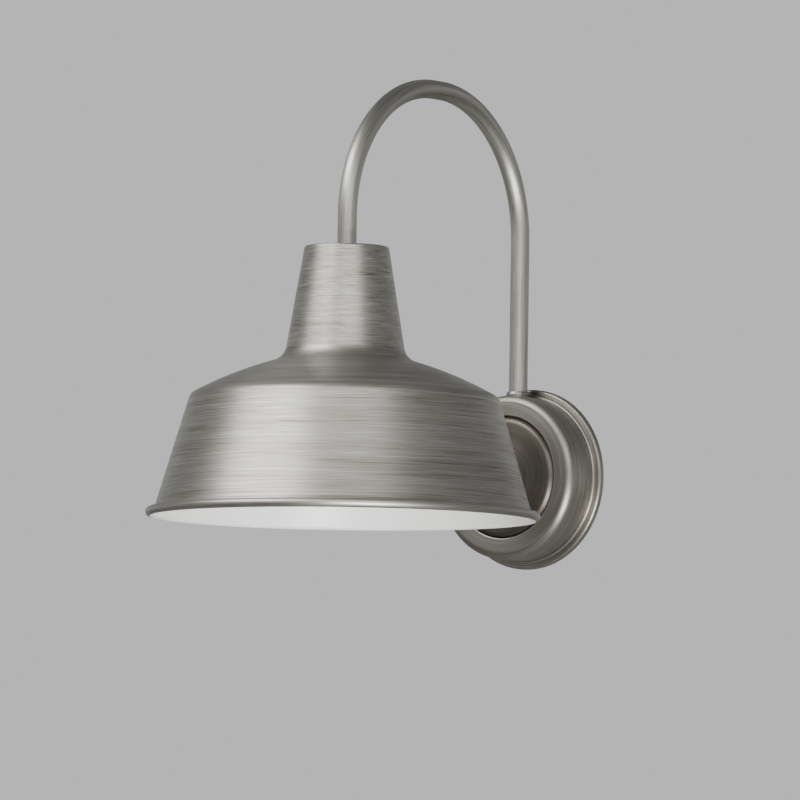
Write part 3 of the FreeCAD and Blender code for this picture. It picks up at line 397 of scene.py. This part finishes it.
def lathe_tree():
    """Turns an outline about Z. Points that carry "cut" are threaded with a helix and ribbed like a moulded grip."""
    tree, given = new_tree(
        "lathe",
        [
            ("Steps round", "Int"),
            ("Thread pitch", "Float"),
            ("Thread depth", "Float"),
            ("Ribs", "Int"),
            ("Rib depth", "Float"),
            ("Finish", "Material"),
        ],
    )
    grid, column, row = wrapped_grid(tree, given["Geometry"], given["Steps round"])
    place = add(tree, "ShaderNodeSeparateXYZ", {0: carried(tree, given["Geometry"], None, "FLOAT_VECTOR", row)}).outputs
    cut = carried(tree, given["Geometry"], "cut", "FLOAT", row)
    angle, cosine, sine = round_about(tree, column, given["Steps round"])
    turns = add(tree, "ShaderNodeMath", {0: place["Z"], 1: given["Thread pitch"]}, operation="DIVIDE").outputs[0]
    climb = add(tree, "ShaderNodeMath", {0: turns, 1: math.tau}, operation="MULTIPLY").outputs[0]
    helix = add(tree, "ShaderNodeMath", {0: climb, 1: angle}, operation="SUBTRACT").outputs[0]
    wave = add(tree, "ShaderNodeMath", {0: helix}, operation="SINE").outputs[0]
    thread = add(tree, "ShaderNodeMath", {0: wave, 1: given["Thread depth"]}, operation="MULTIPLY").outputs[0]
    teeth = add(tree, "ShaderNodeMath", {0: angle, 1: given["Ribs"]}, operation="MULTIPLY").outputs[0]
    ridge = add(tree, "ShaderNodeMath", {0: teeth}, operation="COSINE").outputs[0]
    rib = add(tree, "ShaderNodeMath", {0: ridge, 1: given["Rib depth"]}, operation="MULTIPLY").outputs[0]
    relief = add(tree, "ShaderNodeMath", {0: thread, 1: rib}, operation="ADD").outputs[0]
    radius = add(tree, "ShaderNodeMath", {0: cut, 1: relief, 2: place["X"]}, operation="MULTIPLY_ADD").outputs[0]
    over = add(tree, "ShaderNodeMath", {0: radius, 1: cosine}, operation="MULTIPLY").outputs[0]
    beside = add(tree, "ShaderNodeMath", {0: radius, 1: sine}, operation="MULTIPLY").outputs[0]
    spot = add(tree, "ShaderNodeCombineXYZ", {"X": over, "Y": beside, "Z": place["Z"]})
    turned = add(tree, "GeometryNodeSetPosition", {"Geometry": grid, "Position": spot.outputs[0]})
    return end_tree(tree, turned.outputs[0], given["Finish"])


def tube_tree():
    """Sweeps a ring of given radius along a path whose points carry "side", with the brush lines' places stored."""
    tree, given = new_tree("drawn_tube", [("Steps round", "Int"), ("Finish", "Material")])
    grid, column, row = wrapped_grid(tree, given["Geometry"], given["Steps round"])
    shape = given["Geometry"]
    centre = carried(tree, shape, None, "FLOAT_VECTOR", row)
    side_way = carried(tree, shape, "side", "FLOAT_VECTOR", row)
    way = carried(tree, shape, "way", "FLOAT_VECTOR", row)
    run = carried(tree, shape, "run", "FLOAT", row)
    radius = carried(tree, shape, "radius", "FLOAT", row)
    _, cosine, sine = round_about(tree, column, given["Steps round"])
    over = add(tree, "ShaderNodeMath", {0: cosine, 1: radius}, operation="MULTIPLY").outputs[0]
    beside = add(tree, "ShaderNodeMath", {0: sine, 1: radius}, operation="MULTIPLY").outputs[0]
    first = add(tree, "ShaderNodeVectorMath", {0: side_way, "Scale": over}, operation="SCALE").outputs[0]
    second = add(tree, "ShaderNodeCombineXYZ", {"X": beside}).outputs[0]
    ring = add(tree, "ShaderNodeVectorMath", {0: first, 1: second}, operation="ADD").outputs[0]
    spot = add(tree, "ShaderNodeVectorMath", {0: centre, 1: ring}, operation="ADD").outputs[0]
    mesh = add(tree, "GeometryNodeSetPosition", {"Geometry": grid, "Position": spot}).outputs[0]
    marks = (
        ("run_along", add(tree, "ShaderNodeCombineXYZ", {"Z": run}).outputs[0]),
        ("run_round", add(tree, "ShaderNodeCombineXYZ", {"X": over, "Y": beside}).outputs[0]),
        ("run_way", way),
    )
    for name, value in marks:
        mesh = add(
            tree,
            "GeometryNodeStoreNamedAttribute",
            {"Geometry": mesh, "Name": name, "Value": value},
            data_type="FLOAT_VECTOR",
            domain="POINT",
        ).outputs[0]
    return end_tree(tree, mesh, given["Finish"])


LATHE = lathe_tree()
TUBE = tube_tree()


def grown(name, tree, points, carries, inputs):
    """Runs a tree on a row of points that carry named values, and returns the plain mesh that it makes."""
    mesh = bpy.data.meshes.new(name + "_outline")
    mesh.from_pydata([tuple(point) for point in points], [], [])
    for label, values in carries.items():
        wide = hasattr(values[0], "__len__")
        held = mesh.attributes.new(label, "FLOAT_VECTOR" if wide else "FLOAT", "POINT")
        held.data.foreach_set("vector" if wide else "value", [v for value in values for v in value] if wide else values)
    source = bpy.data.objects.new(name + "_outline", mesh)
    bpy.context.scene.collection.objects.link(source)
    made_by = source.modifiers.new(name, "NODES")
    made_by.node_group = tree
    sockets = {s.name: s.identifier for s in tree.interface.items_tree if s.in_out == "INPUT"}
    for label, value in inputs.items():
        made_by[sockets[label]] = value
    bpy.context.view_layer.update()
    graph = bpy.context.evaluated_depsgraph_get()
    result = bpy.data.meshes.new_from_object(source.evaluated_get(graph))
    bpy.data.objects.remove(source)
    bpy.data.meshes.remove(mesh)
    result.name = name
    result.materials.clear()
    result.materials.append(inputs["Finish"])
    result.polygons.foreach_set("material_index", [0] * len(result.polygons))
    return result


def tidy(mesh, sharp=38):
    """Recalculates the faces' outward side and shades them smooth up to an angle in degrees."""
    work = bmesh.new()
    work.from_mesh(mesh)
    bmesh.ops.dissolve_degenerate(work, dist=1e-7, edges=work.edges)
    bmesh.ops.recalc_face_normals(work, faces=work.faces)
    work.to_mesh(mesh)
    work.free()
    mesh.polygons.foreach_set("use_smooth", [True] * len(mesh.polygons))
    mesh.set_sharp_from_angle(angle=math.radians(sharp))
    return mesh


def show(name, mesh, body, slot, *nodes):
    """Puts a finished mesh in the scene as a piece that rides on a body and stands for CAD nodes."""
    piece = bpy.data.objects.new(name, mesh)
    bpy.context.scene.collection.objects.link(piece)
    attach(piece, body)
    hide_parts(*nodes)
    return piece


def turned(name, corners, material, place, cut=None, steps=256, pitch=1.0, thread=0.0, ribs=0, rib=0.0, sharp=38):
    """A turned mesh from outline corners in millimetres. Cut gives how much of the thread or ribs a point takes."""
    flat = outline(corners) if isinstance(corners[0], tuple) else corners
    flat = [*flat, flat[0]]
    carries = {"cut": [cut(point) if cut else 0.0 for point in flat]}
    inputs = {
        "Steps round": steps,
        "Thread pitch": pitch * MM,
        "Thread depth": thread * MM,
        "Ribs": ribs,
        "Rib depth": rib * MM,
        "Finish": material,
    }
    mesh = grown(name, LATHE, [Vector((p.x, 0, p.y)) * MM for p in flat], carries, inputs)
    mesh.transform(place)
    return tidy(mesh, sharp)


# ---------------------------------------------------------------- the shade

SHEET = 0.85
BORE = 5.25  # of the hole for the nipple
NECK_TOP, BEAD_RADIUS = 140.8, 3.0
BEAD = Vector((126.8, -35.7))
INNER_RIM = BEAD.x - BEAD_RADIUS
NECK_EDGE, NECK_FOOT, SHOULDER = (27.8, NECK_TOP), (40.1, 66.9), (101.5, 42.2)
EDGE_ROUND, FOOT_ROUND, SHOULDER_ROUND, DOME_BEND = 1.4, 12.0, 7.0, 260.0


def shade_outline():
    """Neck, shoulder and skirt outside, then round the rolled rim and up the inside."""
    inner = [(radius - SHEET, height - SHEET) for radius, height in (NECK_EDGE, NECK_FOOT, SHOULDER)]
    roll = []
    for degrees in range(136, -181, -12):  # from the crevice under the skirt, round and in to the inner wall
        angle = math.radians(degrees)
        roll.append((BEAD.x + BEAD_RADIUS * math.cos(angle), BEAD.y + BEAD_RADIUS * math.sin(angle)))
    return outline(
        [
            (BORE, NECK_TOP),
            (*NECK_EDGE, EDGE_ROUND),
            (*NECK_FOOT, FOOT_ROUND, DOME_BEND),
            (*SHOULDER, SHOULDER_ROUND),
            (124.12, -33.9),  # the crevice where the rim turns out
            (124.5, -34.5, 0.12),
            *roll,
            (INNER_RIM, BEAD.y),
            (*inner[2], SHOULDER_ROUND - SHEET, -DOME_BEND),
            (*inner[1], FOOT_ROUND + SHEET),
            (*inner[0], EDGE_ROUND - SHEET),
            (BORE, NECK_TOP - SHEET),
        ]
    )


shade_mesh = turned("spun_shade", shade_outline(), shade_pewter, Matrix.Translation(SHADE_PLACE), steps=360)
shade_mesh.materials.append(enamel)
for face in shade_mesh.polygons:
    arm = face.center - SHADE_PLACE
    reach = math.hypot(arm.x, arm.y)
    faces_axis = (face.normal.x * arm.x + face.normal.y * arm.y) / reach < -0.03
    faces_down = face.normal.z < -0.5 and reach < (INNER_RIM - 0.1) * MM
    if faces_axis or faces_down:
        face.material_index = 1  # the enamel of the inside
show("spun_shade", shade_mesh, "fixture", "pewter", "shade")

# ---------------------------------------------------------------- back plate and cover disc

PLATE = [
    (61.0, 0),
    (61.0, 4.3, 1.9),
    (57.1, 4.3, 0, -1.6),
    (55.5, 5.9),
    (55.5, 31.0, 5.0),
    (41.2, 31.0, 1.1),
    (41.2, 24.0),
    (5.25, 24.0),
    (5.25, 22.8),
    (42.4, 22.8),
    (42.4, 29.8),
    (54.3, 29.8, 3.8),
    (54.3, 1.6),
    (59.8, 1.6),
    (59.8, 0),
]
plate_mesh = turned("spun_back_plate", PLATE, plate_pewter_shaded, TURN_OUT, steps=256)
show("spun_back_plate", plate_mesh, "fixture", "pewter", "back_plate")

DISC = [(0, 32.5), (0, 31.5), (39.9, 31.5, 3.4), (39.9, 24.3), (40.9, 24.3), (40.9, 32.5, 4.4)]
disc_mesh = turned("cover_face", DISC, cover_pewter_dark_reflection, TURN_OUT, steps=192)
show("cover_face", disc_mesh, "cover", "pewter", "cover_disc")

# ---------------------------------------------------------------- arm and collar

ARM_FOOT, BEND_START, BEND, FLAT, DROP = 55.5, 160.7, 93.5, 8.0, 19.9
TUBE_OUTSIDE, TUBE_INSIDE = 6.35, 5.15
BEND_STEPS = 72


def arm_path():
    """The tube's centre line as (place, way, side) in metres: up, over in two quarter bends and down."""
    path = [((0, ARM_PLACE.y, ARM_FOOT * MM), UP, OUT)]
    for hub, first in ((ARM_PLACE.y / MM - BEND, 0), (ARM_PLACE.y / MM - BEND - FLAT, 90)):
        for k in range(BEND_STEPS + 1):
            angle = math.radians(first + 90 * k / BEND_STEPS)
            radial = Vector((0, math.cos(angle), math.sin(angle)))
            place = Vector((0, hub, BEND_START)) * MM + radial * BEND * MM
            path.append((place, Vector((0, -math.sin(angle), math.cos(angle))), -radial))
    last = Vector((0, SHADE_PLACE.y, (BEND_START - DROP) * MM))
    return path + [(last, -UP, -OUT)]


def arm_mesh():
    """The tube with its wall: outside along the path, then back along the bore."""
    path = [(Vector(place), way, side_way) for place, way, side_way in arm_path()]
    runs = [0.0]
    for (here, _, _), (there, _, _) in zip(path, path[1:]):
        runs.append(runs[-1] + (there - here).length)
    rows = [(*spot, run, TUBE_OUTSIDE * MM) for spot, run in zip(path, runs)]
    rows += [(*spot, run, TUBE_INSIDE * MM) for spot, run in zip(path[::-1], runs[::-1])]
    rows.append(rows[0])
    places, ways, sides_, run, radius = zip(*rows)
    carries = {"side": sides_, "way": ways, "run": run, "radius": radius}
    mesh = grown("bent_arm", TUBE, places, carries, {"Steps round": 64, "Finish": arm_pewter})
    return tidy(mesh)


show("bent_arm", arm_mesh(), "fixture", "pewter", "arm_tube")

COLLAR_BORE, COLLAR_FOOT, COLLAR_TOP, DRUM_TOP = 6.4, 52.3, 58.7, 55.55
COLLAR = [
    (COLLAR_BORE, COLLAR_FOOT),
    (7.2, COLLAR_FOOT),
    (7.2, 56.1),  # a shadow gap under the collar
    (8.1, 56.2, 0.2),
    (8.0, 57.3, 0.5),
    (7.4, COLLAR_TOP, 0.7),
    (COLLAR_BORE, COLLAR_TOP),
]
collar_mesh = turned(
    "saddle_collar", fine(outline(COLLAR), 0.4), collar_pewter, Matrix.Translation(ARM_PLACE), steps=96
)
for vertex in collar_mesh.vertices:  # the foot is hollowed to sit on the round drum
    drum = math.sqrt((DRUM_TOP * MM) ** 2 - vertex.co.x**2)
    vertex.co.z = max(vertex.co.z, drum)
tidy(collar_mesh)
show("saddle_collar", collar_mesh, "fixture", "pewter", "arm_collar")

# ---------------------------------------------------------------- the lamp and its holder

THREAD_PITCH = 3.629  # medium screw base, seven turns to the inch
CAP = [
    (12.4, 79.0),
    (13.1, 79.0, 0.3),
    (13.1, 98.0, 0.8),
    (9.0, 101.0, 0.3),
    (8.3, 101.0),
    (12.4, 98.0),
]


def in_thread(low, high, least=0.0, run_out=1.2):
    """How much thread a point takes: none outside low..high, and easing in over the run-out."""

    def share(point):
        if point.x < least:
            return 0.0
        return max(0.0, min(1.0, (point.y - low) / run_out, (high - point.y) / run_out))

    return share


CAP_THREAD = 0.38


def thread_bed(point):
    """The outside of the threaded stretch drawn in by the thread's depth, so that its crests reach the cap's size."""
    threaded = 79.3 < point.y < 97.0 and point.x > 12.9
    return Vector((point.x - (CAP_THREAD if threaded else 0), point.y))


cap_outline = [thread_bed(point) for point in fine(outline(CAP), 0.35)]
cap_mesh = turned(
    "lamp_cap_rolled",
    cap_outline,
    cap_metal,
    Matrix.Translation(SHADE_PLACE),
    cut=in_thread(79.6, 96.8, 12.6),
    steps=128,
    pitch=THREAD_PITCH,
    thread=CAP_THREAD,
    sharp=60,
)
show("lamp_cap_rolled", cap_mesh, "bulb", "lamp_metal", "bulb_cap")

CONNECTOR = [(3.6, 0), (6.5, 0, 0.5), (6.1, 5.0), (4.0, 24.0, 1.2), (0, 24.0), (0, 12.0), (3.6, 12.0)]
RIB = 0.25
CONNECTOR_PLACES = (((16, -15.2, 22), 90), ((-16, -15.2, 22), -90), ((-2, -12, -24), 90))


def rib_bed(point):
    """The outside drawn in by the ribs' depth, so that their crests reach the connector's size."""
    ribbed = point.x > 4.2 and point.y > 0.4
    return Vector((point.x - (RIB if ribbed else 0), point.y))


connectors = bmesh.new()
for place, degrees in CONNECTOR_PLACES:
    grip = turned(
        "grip",
        [rib_bed(point) for point in fine(outline(CONNECTOR), 1.0)],
        orange,
        Matrix.Translation(Vector(place) * MM) @ Matrix.Rotation(math.radians(degrees), 4, "Y"),
        cut=in_thread(1.0, 22.5, 3.7),
        steps=96,
        ribs=16,
        rib=RIB,
    )
    connectors.from_mesh(grip)
    bpy.data.meshes.remove(grip)
connector_mesh = bpy.data.meshes.new("twist_connectors")
connectors.to_mesh(connector_mesh)
connectors.free()
connector_mesh.materials.append(orange)
show("twist_connectors", tidy(connector_mesh), "fixture", "orange_plastic", "wire_connectors")

# ---------------------------------------------------------------- finishes of the frame's own solids

FINISHES = {
    foam: ["wall_seal"],
    zinc: [
        "mounting_strap",
        "strap_nipple",
        "strap_nut",
        "canopy_screws",
        "arm_nipple",
        "arm_washer",
        "arm_lock_washer",
        "arm_nut",
        "shade_nipple",
        "shade_washer",
        "shade_nut",
        "holder_cap",
        "holder_screws",
    ],
    green_zinc: ["ground_screw"],
    brass: ["cover_hub", "screw_shell", "centre_contact", "terminal_screws"],
    porcelain: ["holder_body"],
    opal: ["bulb_glass"],
    vitrite: ["bulb_insulator"],
    cap_metal: ["bulb_contact"],
    black_vinyl: ["line_lead"],
    white_vinyl: ["neutral_lead"],
    green_vinyl: ["ground_lead"],
    tinned: ["ring_terminal"],
}
for material, names in FINISHES.items():
    for name in names:
        solid = NODES[name]
        if not solid.material_slots:
            solid.data.materials.append(material)
        for slot in solid.material_slots:
            slot.material = material

# ---------------------------------------------------------------- camera, floor and light

MIDDLE = Vector((0, -0.15, 0.08))
FLOOR_HALF, FLOOR_HEIGHT = 12.0, -2.1
# The camera was fitted to the edges of the plate, arm, neck and rim in the photograph.
CAMERA_PLACE = Vector((3.15328, -4.39468, -0.35708))
YAW, PITCH, ROLL = math.radians(36.602), math.radians(4.336), math.radians(0.843)
LENS, SENSOR = 360, 36  # millimetres


def camera():
    """A long lens to the right of the light and a little below it, looking slightly up."""
    right = Vector((math.cos(YAW), math.sin(YAW), 0))
    level = Vector((-math.sin(YAW), math.cos(YAW), 0))
    ahead = level * math.cos(PITCH) + UP * math.sin(PITCH)
    above = UP * math.cos(PITCH) - level * math.sin(PITCH)
    across = right * math.cos(ROLL) + above * math.sin(ROLL)
    high = above * math.cos(ROLL) - right * math.sin(ROLL)
    made = bpy.data.objects.new("camera", bpy.data.cameras.new("camera"))
    made.data.sensor_width = SENSOR
    made.data.lens = LENS
    made.data.clip_end = 60
    made.matrix_world = Matrix.Translation(CAMERA_PLACE) @ Matrix((across, high, -ahead)).transposed().to_4x4()
    bpy.context.scene.collection.objects.link(made)
    bpy.context.scene.camera = made


def floor():
    """A plain pale floor, as far below as under a lamp on a wall."""
    mesh = bpy.data.meshes.new("floor")
    half, low = FLOOR_HALF, FLOOR_HEIGHT
    corners = [(-half, -half, low), (half, -half, low), (half, half, low), (-half, half, low)]
    mesh.from_pydata(corners, [], [(0, 1, 2, 3)])
    mesh.materials.append(speckled("pale_floor", "#c9c8c6", "#c2c1bf", 30.0, (0.8, 0.9), 0.02, Metallic=0.0))
    made = bpy.data.objects.new("floor", mesh)
    bpy.context.scene.collection.objects.link(made)


def softbox(name, place, wide, tall, watts):
    """A soft rectangular light that faces the middle of the object and doesn't show itself."""
    made = bpy.data.objects.new(name, bpy.data.lights.new(name, "AREA"))
    made.data.shape = "RECTANGLE"
    made.data.size, made.data.size_y = wide, tall
    made.data.energy = watts
    made.location = place
    made.rotation_mode = "QUATERNION"
    made.rotation_quaternion = (MIDDLE - Vector(place)).to_track_quat("-Z", "Y")
    made.visible_camera = False
    bpy.context.scene.collection.objects.link(made)


def studio():
    """Soft light from the upper left, the front and below, in a pale room with a dimmer ceiling."""
    world = bpy.data.worlds.new("pale_room")
    world.use_nodes = True
    tree = world.node_tree
    way = add(tree, "ShaderNodeTexCoord").outputs["Generated"]
    height = add(tree, "ShaderNodeSeparateXYZ", {0: way}).outputs["Z"]
    shade = add(tree, "ShaderNodeValToRGB", {"Fac": height}, [(0.13, "#bababb"), (0.42, "#7b7b7c")])
    room = tree.nodes["Background"]
    tree.links.new(shade.outputs["Color"], room.inputs["Color"])
    room.inputs["Strength"].default_value = 1.3
    bpy.context.scene.world = world
    softbox("key", (-0.76, -1.88, 1.75), 2.2, 1.0, 78)
    softbox("front", (1.5, -1.85, 1.0), 2.2, 1.1, 31)
    softbox("below", (1.42, -1.32, -0.92), 1.0, 0.6, 70)


camera()
floor()
studio()
